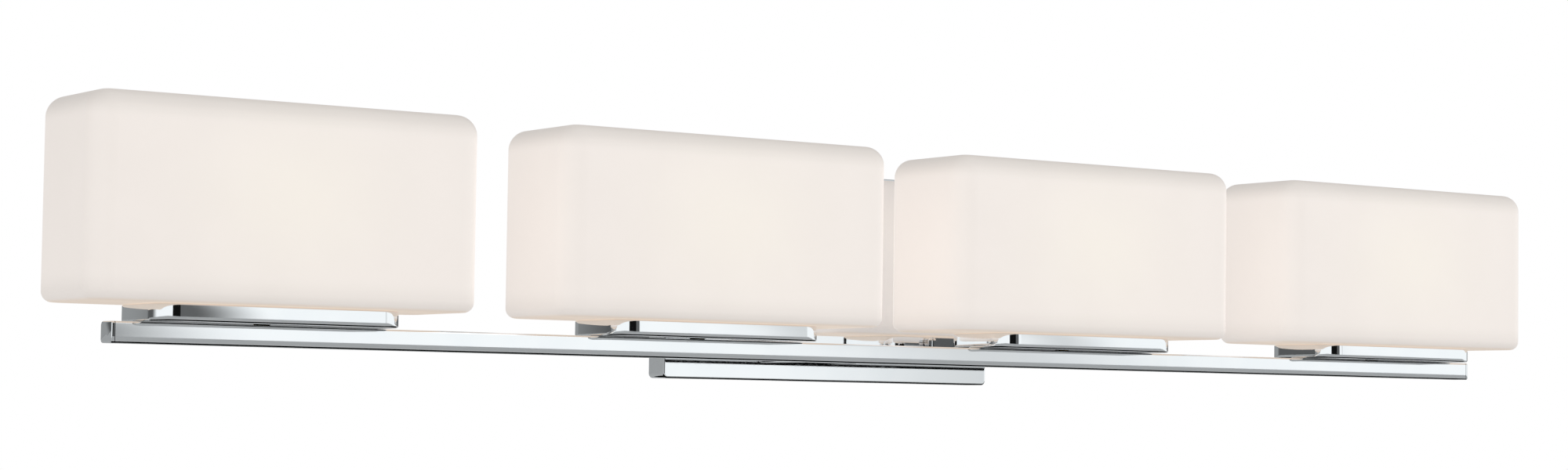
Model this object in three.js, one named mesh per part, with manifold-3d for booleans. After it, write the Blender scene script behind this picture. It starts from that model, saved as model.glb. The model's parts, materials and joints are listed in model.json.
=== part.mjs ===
// Four-light vanity bar: four hollow opal glass bricks stand in shallow chrome cups along a slim
// chrome bar, which one flat arm carries in front of a shallow rectangular wall canopy.
//
// Millimetres. The origin is on the wall, behind the middle of the canopy. +X runs to the right
// along the bar, +Y into the wall and +Z up, so the front of the lamp faces -Y.

import * as THREE from 'three';
import { mergeVertices } from 'three/addons/utils/BufferGeometryUtils.js';
import Module from 'manifold-3d';

const wasm = await Module();
wasm.setup();

// ---------------------------------------------------------------- driving dimensions

const lightCount = 4;
const lightPitch = 244;

// Glass shade: a brick that is closed on top, with a short neck round the opening in its floor.
const shadeWidth = 198;
const shadeDepth = 68;
const shadeHeight = 95;
const shadeCornerRadius = 12;
const shadeTopEdgeRadius = 10;
const shadeBottomEdgeRadius = 5;
const glassThickness = 3.2;
const neckLength = 5;
const neckClearance = 2.5;

// Shade holder: a shallow pan with rounded corners.
const holderWidth = 126;
const holderSetback = 8;
const holderCornerRadius = 12.5;
const holderWall = 1.2;
const holderFloor = 1.5;

// Bar: a hollow rectangular section with soft rear edges.
const barDepth = 13;
const barHeight = 10;
const barWall = 1.5;
const barOverhang = 14;
const barFrontEdge = 1;
const barRearEdge = 2;
const endCapThickness = 1.5;
const endCapPlugLength = 7;

// Canopy: a pan that is open towards the wall.
const canopyWidth = 218;
const canopyHeight = 114;
const canopyDepth = 15;
const canopyWall = 1.2;
const canopyCornerRadius = 2.5;
const canopyToGlass = 18;

// Arm: a flat hollow tube with a flange that is nutted to two studs inside the canopy.
const armWidth = 34;
const armHeight = 8;
const armWall = 1.2;
const armAboveCanopyEdge = 14.3;
const flangeThickness = 2;
const flangeMargin = 14;
const flangeLip = 4;
const studLength = 8;

// Wall bracket: a strap with two forward ears that take the canopy screws.
const bracketHeight = 26;
const bracketThickness = 2;
const bracketEarClearance = 2.3;
const boxScrewSpacing = 88.9;
const boxSlotLength = 14;
const boxSlotWidth = 4.8;

// Screws, nuts and the threaded tubes that hold the lamp sockets.
const nippleDiameter = 8;
const nippleBore = 5.6;
const lockNutAcrossFlats = 13;
const lockNutThickness = 4;
const lockWasherDiameter = 15;
const lockWasherThickness = 0.8;
const thumbScrewDiameter = 3;
const thumbScrewHeadDiameter = 6.4;
const thumbScrewHeadLength = 4.6;
const thumbScrewSpacing = 70;
const machineScrewDiameter = 4;
const machineScrewHeadDiameter = 7.5;
const machineScrewHeadLength = 2.6;
const machineNutAcrossFlats = 7;
const machineNutThickness = 3.2;

// Two-pin lamp and its ceramic socket.
const socketWidth = 24;
const socketDepth = 17;
const socketBlockHeight = 20;
const socketCollarDiameter = 14;
const socketCollarHeight = 6;
const pinSpacing = 9;
const pinWidth = 2.4;
const pinThickness = 1;
const pinLength = 9;
const pinClearance = 0.4;
const lampDiameter = 15;
const lampBaseDiameter = 13;
const lampBaseHeight = 13;
const lampLength = 43;

// Leads and the connectors that join them to the building's wires.
const leadDiameter = 1.8;
const leadSpacing = 2.6;
const leadExitSpacing = 12;
const connectorSpacing = 34;
const connectorLength = 22;
const connectorMouthDiameter = 11;
const connectorTipDiameter = 7;
const connectorBore = 5;
const connectorGap = 0.4;

// Clearances: pieces that seat on each other, and shanks in their holes.
const seatGap = 0.3;
const holeClearance = 0.3;
const gasketMargin = 1;

// ---------------------------------------------------------------- derived places

const barY = -(canopyDepth + canopyToGlass + shadeDepth / 2);
const barZ = -canopyHeight / 2 + armAboveCanopyEdge;
const barTop = barZ + barHeight / 2;
const barBack = barY + barDepth / 2;
const barLength = (lightCount - 1) * lightPitch + holderWidth + 2 * barOverhang;
const armZ = barZ;
const canopyFront = -canopyDepth;
const canopyInside = canopyFront + canopyWall;
const bracketEarLength = canopyDepth - canopyWall - bracketEarClearance;

// Heights above the bar's top, used inside each light's own group.
const holderBottom = seatGap;
const holderFloorTop = holderBottom + holderFloor;
const gasketThickness = 1.1;
const gasketBottom = holderFloorTop + seatGap;
const neckBottom = gasketBottom + gasketThickness + seatGap;
const glassBottom = neckBottom + neckLength;
const holderTop = glassBottom - seatGap;
const holderDepth = shadeDepth - 2 * holderSetback;
const neckInset = holderWall + neckClearance;
const neckWidth = holderWidth - 2 * neckInset;
const neckDepth = holderDepth - 2 * neckInset;
const neckCornerRadius = Math.max(holderCornerRadius - neckInset, glassThickness + 1);
const washerBottom = holderFloorTop + seatGap;
const nutBottom = washerBottom + lockWasherThickness + seatGap;
const socketBottom = nutBottom + lockNutThickness + seatGap;
const socketTop = socketBottom + socketCollarHeight + socketBlockHeight;
const socketSeatDepth = 5;
const nippleTop = socketBottom + socketSeatDepth - seatGap;
const nippleBottom = -barWall;
const lampBottom = socketTop + seatGap;
const lampTop = lampBottom + lampLength;

// ---------------------------------------------------------------- shape helpers

const roundSegments = 16;
const cornerSegments = 4;
const hiddenSegments = 2;

// A closed geometry as a solid that can be joined and cut.
function solid(geometry) {
  const bare = geometry.clone();
  bare.deleteAttribute('normal');
  bare.deleteAttribute('uv');
  const merged = mergeVertices(bare, 1e-4);
  const corners = merged.index.array;
  const kept = [];
  for (let i = 0; i < corners.length; i += 3) {
    const [a, b, c] = [corners[i], corners[i + 1], corners[i + 2]];
    if (a !== b && b !== c && c !== a) {
      kept.push(a, b, c);
    }
  }
  return new wasm.Manifold(new wasm.Mesh({
    numProp: 3,
    vertProperties: new Float32Array(merged.attributes.position.array),
    triVerts: new Uint32Array(kept),
  }));
}

// A solid as a geometry that a mesh can show.
function geometryOf(body) {
  const result = body.getMesh();
  const geometry = new THREE.BufferGeometry();
  geometry.setAttribute('position', new THREE.BufferAttribute(result.vertProperties, 3));
  geometry.setIndex(new THREE.BufferAttribute(result.triVerts, 1));
  geometry.computeVertexNormals();
  return geometry;
}

function roundedRectangle(width, height, radius) {
  const x = width / 2 - radius;
  const y = height / 2 - radius;
  const shape = new THREE.Shape();
  shape.absarc(x, -y, radius, -Math.PI / 2, 0, false);
  shape.absarc(x, y, radius, 0, Math.PI / 2, false);
  shape.absarc(-x, y, radius, Math.PI / 2, Math.PI, false);
  shape.absarc(-x, -y, radius, Math.PI, 1.5 * Math.PI, false);
  shape.closePath();
  return shape;
}

// A shape raised from height bottom to height top, with its rims rounded by edge.
function raised(shape, bottom, top, edge = 0, segments = cornerSegments) {
  const geometry = new THREE.ExtrudeGeometry(shape, {
    depth: top - bottom - 2 * edge,
    curveSegments: segments,
    bevelEnabled: edge > 0,
    bevelThickness: edge,
    bevelSize: edge,
    bevelOffset: -edge,
    bevelSegments: segments,
  });
  return solid(geometry.translate(0, 0, bottom + edge));
}

function block(width, depth, height, x, y, z) {
  return solid(new THREE.BoxGeometry(width, depth, height).translate(x, y, z));
}

// A round rod between two points.
function rod(diameter, from, to, segments = roundSegments) {
  const start = new THREE.Vector3(...from);
  const along = new THREE.Vector3(...to).sub(start);
  const geometry = new THREE.CylinderGeometry(diameter / 2, diameter / 2, along.length(), segments);
  const turn = new THREE.Quaternion().setFromUnitVectors(
    new THREE.Vector3(0, 1, 0),
    along.clone().normalize(),
  );
  geometry.applyQuaternion(turn);
  geometry.translate(...start.addScaledVector(along, 0.5).toArray());
  return solid(geometry);
}

// A turned piece on the Z axis: its outline is a list of [radius, height] from axis to axis.
function turned(outline, segments = roundSegments) {
  const points = outline.map(([radius, height]) => new THREE.Vector2(radius, height));
  return solid(new THREE.LatheGeometry(points, segments).rotateX(Math.PI / 2));
}

// A hexagonal nut on the Z axis, with a round hole.
function hexNut(acrossFlats, thickness, hole) {
  const radius = acrossFlats / Math.sqrt(3);
  const blank = rod(2 * radius, [0, 0, 0], [0, 0, thickness], 6);
  return blank.subtract(rod(hole, [0, 0, -1], [0, 0, thickness + 1]));
}

// A lead along a smooth curve through points.
function lead(points, steps) {
  const curve = new THREE.CatmullRomCurve3(points.map((p) => new THREE.Vector3(...p)), false, 'centripetal');
  const section = new THREE.Shape();
  section.absarc(0, 0, leadDiameter / 2, 0, 2 * Math.PI, false);
  return solid(new THREE.ExtrudeGeometry(section, {
    steps,
    extrudePath: curve,
    curveSegments: 4,
  }));
}

// ---------------------------------------------------------------- materials

function finish(color, roughness, metalness) {
  return new THREE.MeshStandardMaterial({ color, roughness, metalness });
}

const chrome = finish(0xdfe6ea, 0.06, 1);
const steel = finish(0xb4b7ba, 0.35, 1);
const brass = finish(0xc9a352, 0.3, 1);
const opalGlass = finish(0xf4efea, 0.32, 0);
const lampGlass = finish(0xfbf6ea, 0.4, 0);
const ceramic = finish(0xece8df, 0.45, 0);
const silicone = finish(0xe4e4e0, 0.8, 0);
const liveInsulation = finish(0x1b1b1d, 0.5, 0);
const neutralInsulation = finish(0xf0efec, 0.5, 0);
const groundInsulation = finish(0x2f7d3c, 0.5, 0);
const connectorPlastic = finish(0xd9772b, 0.45, 0);
const greenScrew = finish(0x3f8a4a, 0.4, 0.6);

const fixture = new THREE.Group();

// Adds one named piece to a group.
function place(group, name, body, material) {
  const mesh = new THREE.Mesh(geometryOf(body), material);
  mesh.name = name;
  group.add(mesh);
}

// ---------------------------------------------------------------- pieces of one light

// A brick with rounder edges on top than underneath, drawn in by inset on every side.
function glassBrick(inset, segments) {
  const outline = roundedRectangle(
    shadeWidth - 2 * inset,
    shadeDepth - 2 * inset,
    shadeCornerRadius - inset,
  );
  const bottom = glassBottom + inset;
  const top = glassBottom + shadeHeight - inset;
  const upper = raised(outline, bottom - shadeHeight, top, shadeTopEdgeRadius - inset, segments);
  const lower = raised(outline, bottom, top + shadeHeight, shadeBottomEdgeRadius - inset, segments);
  return upper.intersect(lower);
}

function glassShade() {
  const inset = 2 * glassThickness;
  const outside = glassBrick(0, cornerSegments);
  const hollow = glassBrick(glassThickness, hiddenSegments);
  const neck = raised(
    roundedRectangle(neckWidth, neckDepth, neckCornerRadius),
    neckBottom,
    glassBottom + glassThickness / 2,
  );
  const mouth = raised(
    roundedRectangle(neckWidth - inset, neckDepth - inset, neckCornerRadius - glassThickness),
    neckBottom - 1,
    glassBottom + 2 * glassThickness,
  );
  return outside.add(neck).subtract(hollow).subtract(mouth);
}

function shadeGasket() {
  const outer = roundedRectangle(neckWidth + gasketMargin, neckDepth + gasketMargin, neckCornerRadius);
  const inset = 2 * (glassThickness + gasketMargin);
  outer.holes.push(roundedRectangle(neckWidth - inset, neckDepth - inset, neckCornerRadius - glassThickness));
  return raised(outer, gasketBottom, gasketBottom + gasketThickness, 0, hiddenSegments);
}

const thumbScrewZ = (holderFloorTop + holderTop) / 2;
const thumbScrewHole = thumbScrewDiameter + 2 * holeClearance;

function shadeHolder() {
  const inset = 2 * holderWall;
  const outside = raised(
    roundedRectangle(holderWidth, holderDepth, holderCornerRadius),
    holderBottom,
    holderTop,
  );
  const hollow = raised(
    roundedRectangle(holderWidth - inset, holderDepth - inset, holderCornerRadius - holderWall),
    holderFloorTop,
    holderTop + 1,
  );
  const nippleHole = rod(nippleDiameter + 2 * holeClearance, [0, 0, -1], [0, 0, holderFloorTop + 1]);
  let pan = outside.subtract(hollow).subtract(nippleHole);
  for (const side of [-1, 1]) {
    const x = side * thumbScrewSpacing / 2;
    const inner = holderDepth / 2 - holderWall - 1;
    pan = pan.subtract(rod(thumbScrewHole, [x, inner, thumbScrewZ], [x, holderDepth / 2 + 1, thumbScrewZ]));
  }
  return pan;
}

// A slotted screw head sits outside the holder's rear wall; its tip ends at the glass neck.
function thumbScrew(x) {
  const face = holderDepth / 2 + seatGap;
  const tip = neckDepth / 2 + seatGap;
  const end = face + thumbScrewHeadLength;
  const shank = rod(thumbScrewDiameter, [x, tip, thumbScrewZ], [x, face + 1, thumbScrewZ], 12);
  const head = rod(thumbScrewHeadDiameter, [x, face, thumbScrewZ], [x, end, thumbScrewZ]);
  const slot = block(1, 2, thumbScrewHeadDiameter + 2, x, end, thumbScrewZ);
  return shank.add(head).subtract(slot);
}

function nipple() {
  const tube = rod(nippleDiameter, [0, 0, nippleBottom], [0, 0, nippleTop]);
  return tube.subtract(rod(nippleBore, [0, 0, nippleBottom - 1], [0, 0, nippleTop + 1]));
}

function lockNut() {
  return hexNut(lockNutAcrossFlats, lockNutThickness, nippleDiameter + 2 * holeClearance)
    .translate([0, 0, nutBottom]);
}

function lockWasher() {
  const top = washerBottom + lockWasherThickness;
  const hole = nippleDiameter + 2 * holeClearance;
  return rod(lockWasherDiameter, [0, 0, washerBottom], [0, 0, top])
    .subtract(rod(hole, [0, 0, washerBottom - 1], [0, 0, top + 1]));
}

function lampSocket() {
  const collarTop = socketBottom + socketCollarHeight;
  const collar = rod(socketCollarDiameter, [0, 0, socketBottom], [0, 0, collarTop + 1]);
  const body = raised(roundedRectangle(socketWidth, socketDepth, 3), collarTop, socketTop, 1, hiddenSegments);
  const nippleHole = rod(
    nippleDiameter + 2 * holeClearance,
    [0, 0, socketBottom - 1],
    [0, 0, socketBottom + socketSeatDepth],
  );
  let socket = body.add(collar).subtract(nippleHole);
  for (const side of [-1, 1]) {
    const depth = pinLength + pinClearance;
    const slot = block(
      pinWidth + 2 * pinClearance,
      pinThickness + 2 * pinClearance,
      depth + 1,
      side * pinSpacing / 2,
      0,
      socketTop - (depth - 1) / 2,
    );
    socket = socket.subtract(slot);
  }
  return socket;
}

function lamp() {
  const baseTop = lampBottom + lampBaseHeight;
  const outline = [[0, lampBottom], [lampBaseDiameter / 2, lampBottom], [lampBaseDiameter / 2, baseTop]];
  const domeCentre = lampTop - lampDiameter / 2;
  outline.push([lampDiameter / 2, baseTop + 1.5]);
  for (let i = 0; i <= cornerSegments; i += 1) {
    const angle = (i / cornerSegments) * Math.PI / 2;
    const radius = i === cornerSegments ? 0 : Math.cos(angle) * lampDiameter / 2;
    outline.push([radius, domeCentre + Math.sin(angle) * lampDiameter / 2]);
  }
  let bulb = turned(outline);
  for (const side of [-1, 1]) {
    const bottom = lampBottom - pinLength;
    const height = pinLength + 1;
    bulb = bulb.add(block(pinWidth, pinThickness, height, side * pinSpacing / 2, 0, bottom + height / 2));
  }
  return bulb;
}

function lightX(index) {
  return (index - (lightCount - 1) / 2) * lightPitch;
}

for (let index = 0; index < lightCount; index += 1) {
  const light = new THREE.Group();
  light.position.set(lightX(index), barY, barTop);
  const number = index + 1;
  place(light, `glass_shade_${number}`, glassShade(), opalGlass);
  place(light, `shade_gasket_${number}`, shadeGasket(), silicone);
  place(light, `shade_holder_${number}`, shadeHolder(), chrome);
  place(light, `nipple_${number}`, nipple(), brass);
  place(light, `lock_washer_${number}`, lockWasher(), steel);
  place(light, `lock_nut_${number}`, lockNut(), brass);
  place(light, `lamp_socket_${number}`, lampSocket(), ceramic);
  place(light, `lamp_${number}`, lamp(), lampGlass);
  place(light, `thumb_screw_${number}_left`, thumbScrew(-thumbScrewSpacing / 2), chrome);
  place(light, `thumb_screw_${number}_right`, thumbScrew(thumbScrewSpacing / 2), chrome);
  fixture.add(light);
}

// ---------------------------------------------------------------- bar and end caps

// The bar's section seen along X: horizontal is Y, vertical is Z, about the section's middle.
function barSection(inset) {
  const front = -barDepth / 2 + inset;
  const back = barDepth / 2 - inset;
  const half = barHeight / 2 - inset;
  const small = Math.max(barFrontEdge - inset, 0.2);
  const large = Math.max(barRearEdge - inset, 0.4);
  const shape = new THREE.Shape();
  shape.absarc(back - large, -half + large, large, -Math.PI / 2, 0, false);
  shape.absarc(back - large, half - large, large, 0, Math.PI / 2, false);
  shape.absarc(front + small, half - small, small, Math.PI / 2, Math.PI, false);
  shape.absarc(front + small, -half + small, small, Math.PI, 1.5 * Math.PI, false);
  shape.closePath();
  return shape;
}

// A section swept along X from one end to the other.
function alongBar(shape, from, to) {
  const geometry = new THREE.ExtrudeGeometry(shape, {
    depth: to - from,
    curveSegments: 3,
    bevelEnabled: false,
  });
  geometry.rotateX(Math.PI / 2);
  geometry.rotateZ(Math.PI / 2);
  return solid(geometry.translate(from, barY, barZ));
}

const wireWindowHeight = armHeight - 2 * armWall;
const wireWindowWidth = armWidth - 2 * armWall;

function lightBar() {
  const half = barLength / 2 - endCapThickness - seatGap;
  const section = barSection(0);
  section.holes.push(barSection(barWall));
  let bar = alongBar(section, -half, half);
  for (let index = 0; index < lightCount; index += 1) {
    const x = lightX(index);
    const hole = nippleDiameter + 2 * holeClearance;
    bar = bar.subtract(rod(hole, [x, barY, barTop - barWall - 0.5], [x, barY, barTop + 1]));
  }
  return bar.subtract(block(wireWindowWidth, 2 * barWall, wireWindowHeight, 0, barBack, barZ));
}

function endCap(side) {
  const outer = barLength / 2;
  const inner = outer - endCapThickness;
  const [plateFrom, plateTo] = side < 0 ? [-outer, -inner] : [inner, outer];
  const plugEnd = inner - endCapPlugLength;
  const [plugFrom, plugTo] = side < 0 ? [-inner - 0.1, -plugEnd] : [plugEnd, inner + 0.1];
  return alongBar(barSection(0), plateFrom, plateTo)
    .add(alongBar(barSection(barWall + seatGap), plugFrom, plugTo));
}

place(fixture, 'light_bar', lightBar(), chrome);
place(fixture, 'bar_end_cap_left', endCap(-1), chrome);
place(fixture, 'bar_end_cap_right', endCap(1), chrome);

// ---------------------------------------------------------------- canopy, arm and bracket

const studX = armWidth / 2 + flangeMargin / 2;
const flangeFront = canopyInside + seatGap;
const flangeBack = flangeFront + flangeThickness;
const screwY = canopyFront / 2;
const sideFace = canopyWidth / 2;
const earOuter = sideFace - canopyWall - seatGap;
const shankHole = machineScrewDiameter + 2 * holeClearance;

// A plate outline in X and Z, given its thickness along Y from front to back.
function upright(shape, front, back) {
  const geometry = new THREE.ExtrudeGeometry(shape, {
    depth: back - front,
    curveSegments: 4,
    bevelEnabled: false,
  });
  geometry.rotateX(Math.PI / 2);
  return solid(geometry.translate(0, back, 0));
}

function canopy() {
  const inner = Math.max(canopyCornerRadius - canopyWall, 0.3);
  const outside = upright(roundedRectangle(canopyWidth, canopyHeight, canopyCornerRadius), canopyFront, 0);
  const hollow = upright(
    roundedRectangle(canopyWidth - 2 * canopyWall, canopyHeight - 2 * canopyWall, inner),
    canopyInside,
    1,
  );
  const armSlot = block(armWidth + 2 * seatGap, 4 * canopyWall, armHeight + 2 * seatGap, 0, canopyFront, armZ);
  let pan = outside.subtract(hollow).subtract(armSlot);
  for (const side of [-1, 1]) {
    const x = side * sideFace;
    const stud = rod(
      machineScrewDiameter,
      [side * studX, canopyFront + canopyWall / 2, armZ],
      [side * studX, canopyInside + studLength, armZ],
      12,
    );
    pan = pan.subtract(rod(shankHole, [x - 4, screwY, 0], [x + 4, screwY, 0])).add(stud);
  }
  return pan;
}

function supportArm() {
  const front = barBack + seatGap;
  const length = flangeBack - front;
  const middle = (front + flangeBack) / 2;
  const tube = block(armWidth, length, armHeight, 0, middle, armZ);
  const flange = block(
    armWidth + 2 * flangeMargin,
    flangeThickness,
    armHeight + 2 * flangeLip,
    0,
    (flangeFront + flangeBack) / 2,
    armZ,
  );
  let arm = tube.add(flange).subtract(block(wireWindowWidth, length + 2, wireWindowHeight, 0, middle, armZ));
  for (const side of [-1, 1]) {
    const x = side * studX;
    arm = arm.subtract(rod(shankHole, [x, flangeFront - 1, armZ], [x, flangeBack + 1, armZ]));
  }
  return arm;
}

function armNut(side) {
  const nut = hexNut(machineNutAcrossFlats, machineNutThickness, shankHole);
  return nut.rotate([-90, 0, 0]).translate([side * studX, flangeBack + seatGap, armZ]);
}

const groundScrewX = boxScrewSpacing / 2 + 24;

function wallBracket() {
  let strap = block(2 * earOuter, bracketThickness, bracketHeight, 0, -bracketThickness / 2, 0);
  for (const side of [-1, 1]) {
    const x = side * (earOuter - bracketThickness / 2);
    const ear = block(bracketThickness, bracketEarLength, bracketHeight / 2, x, -bracketEarLength / 2, 0);
    const slotX = side * boxScrewSpacing / 2;
    const slot = upright(roundedRectangle(boxSlotLength, boxSlotWidth, boxSlotWidth / 2.01), -4, 2);
    strap = strap
      .add(ear)
      .subtract(rod(shankHole, [x - 4, screwY, 0], [x + 4, screwY, 0]))
      .subtract(slot.translate([slotX, 0, 0]));
  }
  return strap.subtract(rod(shankHole, [groundScrewX, -4, 0], [groundScrewX, 1, 0]));
}

// A pan-head screw with a cross recess. Its head rests on a face; the shank runs along +Z.
function machineScrew(length) {
  const half = machineScrewHeadDiameter / 2;
  const outline = [
    [0, -machineScrewHeadLength],
    [half * 0.72, -machineScrewHeadLength],
    [half, -machineScrewHeadLength * 0.45],
    [half, 0],
    [machineScrewDiameter / 2, 0],
    [machineScrewDiameter / 2, length],
    [0, length],
  ];
  const recess = machineScrewHeadLength * 0.6;
  const z = -machineScrewHeadLength + recess / 2;
  return turned(outline)
    .subtract(block(half, 0.9, recess + 0.4, 0, 0, z - 0.2))
    .subtract(block(0.9, half, recess + 0.4, 0, 0, z - 0.2));
}

function canopyScrew(side) {
  const length = canopyWall + bracketThickness + 4;
  return machineScrew(length)
    .rotate([0, -90 * side, 0])
    .translate([side * (sideFace + seatGap), screwY, 0]);
}

function groundScrew() {
  return machineScrew(bracketThickness)
    .rotate([-90, 0, 0])
    .translate([groundScrewX, -bracketThickness - seatGap, 0]);
}

place(fixture, 'canopy', canopy(), chrome);
place(fixture, 'support_arm', supportArm(), chrome);
place(fixture, 'arm_nut_left', armNut(-1), steel);
place(fixture, 'arm_nut_right', armNut(1), steel);
place(fixture, 'wall_bracket', wallBracket(), steel);
place(fixture, 'canopy_screw_left', canopyScrew(-1), chrome);
place(fixture, 'canopy_screw_right', canopyScrew(1), chrome);
place(fixture, 'ground_screw', groundScrew(), greenScrew);

// ---------------------------------------------------------------- wiring

const connectorY = canopyInside + connectorGap + connectorMouthDiameter / 2;
const connectorMouthZ = bracketHeight / 2 + 4;
const lastLightX = lightX(lightCount - 1);

function wireConnector(x) {
  const bore = connectorBore / 2;
  const mouth = connectorMouthDiameter / 2;
  const outline = [
    [bore, connectorMouthZ],
    [mouth, connectorMouthZ],
    [mouth, connectorMouthZ + 5],
    [connectorTipDiameter / 2, connectorMouthZ + connectorLength - 1],
    [connectorTipDiameter / 2 - 1, connectorMouthZ + connectorLength],
    [0, connectorMouthZ + connectorLength],
    [0, connectorMouthZ + connectorLength - 8],
    [bore, connectorMouthZ + connectorLength - 8],
    [bore, connectorMouthZ],
  ];
  return turned(outline).translate([x, connectorY, 0]);
}

// One conductor of the fixture: a run along the bar, a riser to each socket and a tail that
// leaves through the arm and turns up to its connector in the canopy.
function conductor(side) {
  const y = barY + side * leadSpacing / 2;
  const z = barZ + side * leadSpacing / 2;
  const exitX = side * leadExitSpacing / 2;
  const end = lastLightX + leadDiameter / 2;
  let run = rod(leadDiameter, [-end, y, z], [end, y, z], 8);
  for (let index = 0; index < lightCount; index += 1) {
    const x = lightX(index);
    run = run.add(rod(leadDiameter, [x, y, z], [x, y, barTop + nippleTop - 1], 8));
  }
  const tail = lead([
    [exitX, y, z],
    [exitX, (barBack + canopyFront) / 2, z],
    [exitX, canopyFront, z],
    [exitX, flangeBack + 1, z],
    [exitX * 1.4, connectorY, z + 9],
    [side * connectorSpacing * 0.6, connectorY, 0],
    [side * connectorSpacing, connectorY, connectorMouthZ - 4],
    [side * connectorSpacing, connectorY, connectorMouthZ + 8],
  ], 30);
  return run.add(tail);
}

// The ground lead loops from beside its screw up to the third connector.
function groundLead() {
  const headFace = -bracketThickness - seatGap - machineScrewHeadLength - seatGap;
  const y = headFace - leadDiameter / 2;
  const x = 2 * connectorSpacing + 12;
  return lead([
    [groundScrewX, y, -machineScrewHeadDiameter / 3],
    [groundScrewX + 2, y, 4],
    [x - 2, connectorY, connectorMouthZ - 6],
    [x, connectorY, connectorMouthZ],
    [x, connectorY, connectorMouthZ + 8],
  ], 14);
}

place(fixture, 'lead_live', conductor(-1), liveInsulation);
place(fixture, 'lead_neutral', conductor(1), neutralInsulation);
place(fixture, 'lead_ground', groundLead(), groundInsulation);
place(fixture, 'wire_connector_live', wireConnector(-connectorSpacing), connectorPlastic);
place(fixture, 'wire_connector_neutral', wireConnector(connectorSpacing), connectorPlastic);
place(fixture, 'wire_connector_ground', wireConnector(2 * connectorSpacing + 12), connectorPlastic);

export default fixture;
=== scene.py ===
"""A four-light vanity bar: satin opal glass bricks in chrome cups on a slim chrome bar."""

import json
import math

import bmesh
import bpy
from mathutils import Matrix, Vector


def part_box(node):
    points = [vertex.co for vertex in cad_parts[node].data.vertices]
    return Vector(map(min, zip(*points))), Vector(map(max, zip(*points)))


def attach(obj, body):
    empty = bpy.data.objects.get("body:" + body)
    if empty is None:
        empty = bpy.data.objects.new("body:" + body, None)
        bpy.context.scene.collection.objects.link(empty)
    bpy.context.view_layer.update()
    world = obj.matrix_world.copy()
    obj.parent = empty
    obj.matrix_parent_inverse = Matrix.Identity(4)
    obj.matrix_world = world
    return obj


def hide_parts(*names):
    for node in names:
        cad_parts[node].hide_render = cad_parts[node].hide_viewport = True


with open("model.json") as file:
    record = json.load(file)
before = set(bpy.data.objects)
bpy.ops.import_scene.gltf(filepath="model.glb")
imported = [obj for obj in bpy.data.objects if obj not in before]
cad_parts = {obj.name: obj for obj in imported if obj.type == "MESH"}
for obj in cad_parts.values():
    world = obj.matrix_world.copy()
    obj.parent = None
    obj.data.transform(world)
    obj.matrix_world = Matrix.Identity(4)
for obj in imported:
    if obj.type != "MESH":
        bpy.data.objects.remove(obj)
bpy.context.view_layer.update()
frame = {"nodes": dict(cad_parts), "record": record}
MM = 0.001
LIGHTS = (1, 2, 3, 4)
ROOT = "fixture"


# ------------------------------------------------------------------ materials

class Nodes:
    """A material's node tree, with short calls for the nodes that the finishes share."""

    def __init__(self, name):
        self.material = bpy.data.materials.new(name)
        self.material.use_nodes = True
        self.tree = self.material.node_tree
        self.shader = self.tree.nodes["Principled BSDF"]
        self.place = self.tree.nodes.new("ShaderNodeTexCoord").outputs["Object"]

    def add(self, kind, **values):
        node = self.tree.nodes.new(kind)
        for key, value in values.items():
            setattr(node, key, value)
        return node

    def link(self, source, target):
        self.tree.links.new(source, target)

    def fixed(self, **values):
        for key, value in values.items():
            self.shader.inputs[key.replace("_", " ")].default_value = value

    def noise(self, scale, detail=4.0, stretch=(1, 1, 1)):
        mapping = self.add("ShaderNodeMapping")
        mapping.inputs["Scale"].default_value = stretch
        self.link(self.place, mapping.inputs["Vector"])
        node = self.add("ShaderNodeTexNoise")
        node.inputs["Scale"].default_value = scale
        node.inputs["Detail"].default_value = detail
        self.link(mapping.outputs["Vector"], node.inputs["Vector"])
        return node.outputs["Fac"]

    def spread(self, value, low, high, start=0.35, end=0.65):
        """Maps a value from start..end to low..high."""
        node = self.add("ShaderNodeMapRange")
        node.interpolation_type = "SMOOTHSTEP"
        for key, number in (("From Min", start), ("From Max", end), ("To Min", low), ("To Max", high)):
            node.inputs[key].default_value = number
        self.link(value, node.inputs["Value"])
        return node.outputs["Result"]

    def math(self, operation, first, second):
        node = self.add("ShaderNodeMath", operation=operation)
        for socket, value in zip(node.inputs, (first, second)):
            if isinstance(value, (int, float)):
                socket.default_value = value
            else:
                self.link(value, socket)
        return node.outputs[0]

    def mix(self, share, first, second):
        node = self.add("ShaderNodeMix", data_type="RGBA")
        self.link(share, node.inputs[0])
        for socket, value in ((node.inputs[6], first), (node.inputs[7], second)):
            if isinstance(value, tuple):
                socket.default_value = (*value, 1)
            else:
                self.link(value, socket)
        return node.outputs[2]

    def bump(self, height, strength, distance):
        node = self.add("ShaderNodeBump")
        node.inputs["Strength"].default_value = strength
        node.inputs["Distance"].default_value = distance
        self.link(height, node.inputs["Height"])
        self.link(node.outputs["Normal"], self.shader.inputs["Normal"])


def metal(name, color, dull, rough, grain=(1, 1, 1), grain_scale=900.0, relief=0.05):
    """A metal with cloudy tone, a varying roughness and a fine grain."""
    n = Nodes(name)
    n.fixed(Metallic=1.0)
    clouds = n.noise(35.0, 5.0)
    n.link(n.mix(n.spread(clouds, 0.0, 1.0), color, dull), n.shader.inputs["Base Color"])
    fine = n.noise(grain_scale, 3.0, grain)
    tone = n.math("MULTIPLY", n.spread(clouds, 0.75, 1.25), n.spread(fine, rough[0], rough[1]))
    n.link(tone, n.shader.inputs["Roughness"])
    n.bump(fine, relief, 0.00002)
    return n.material


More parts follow.
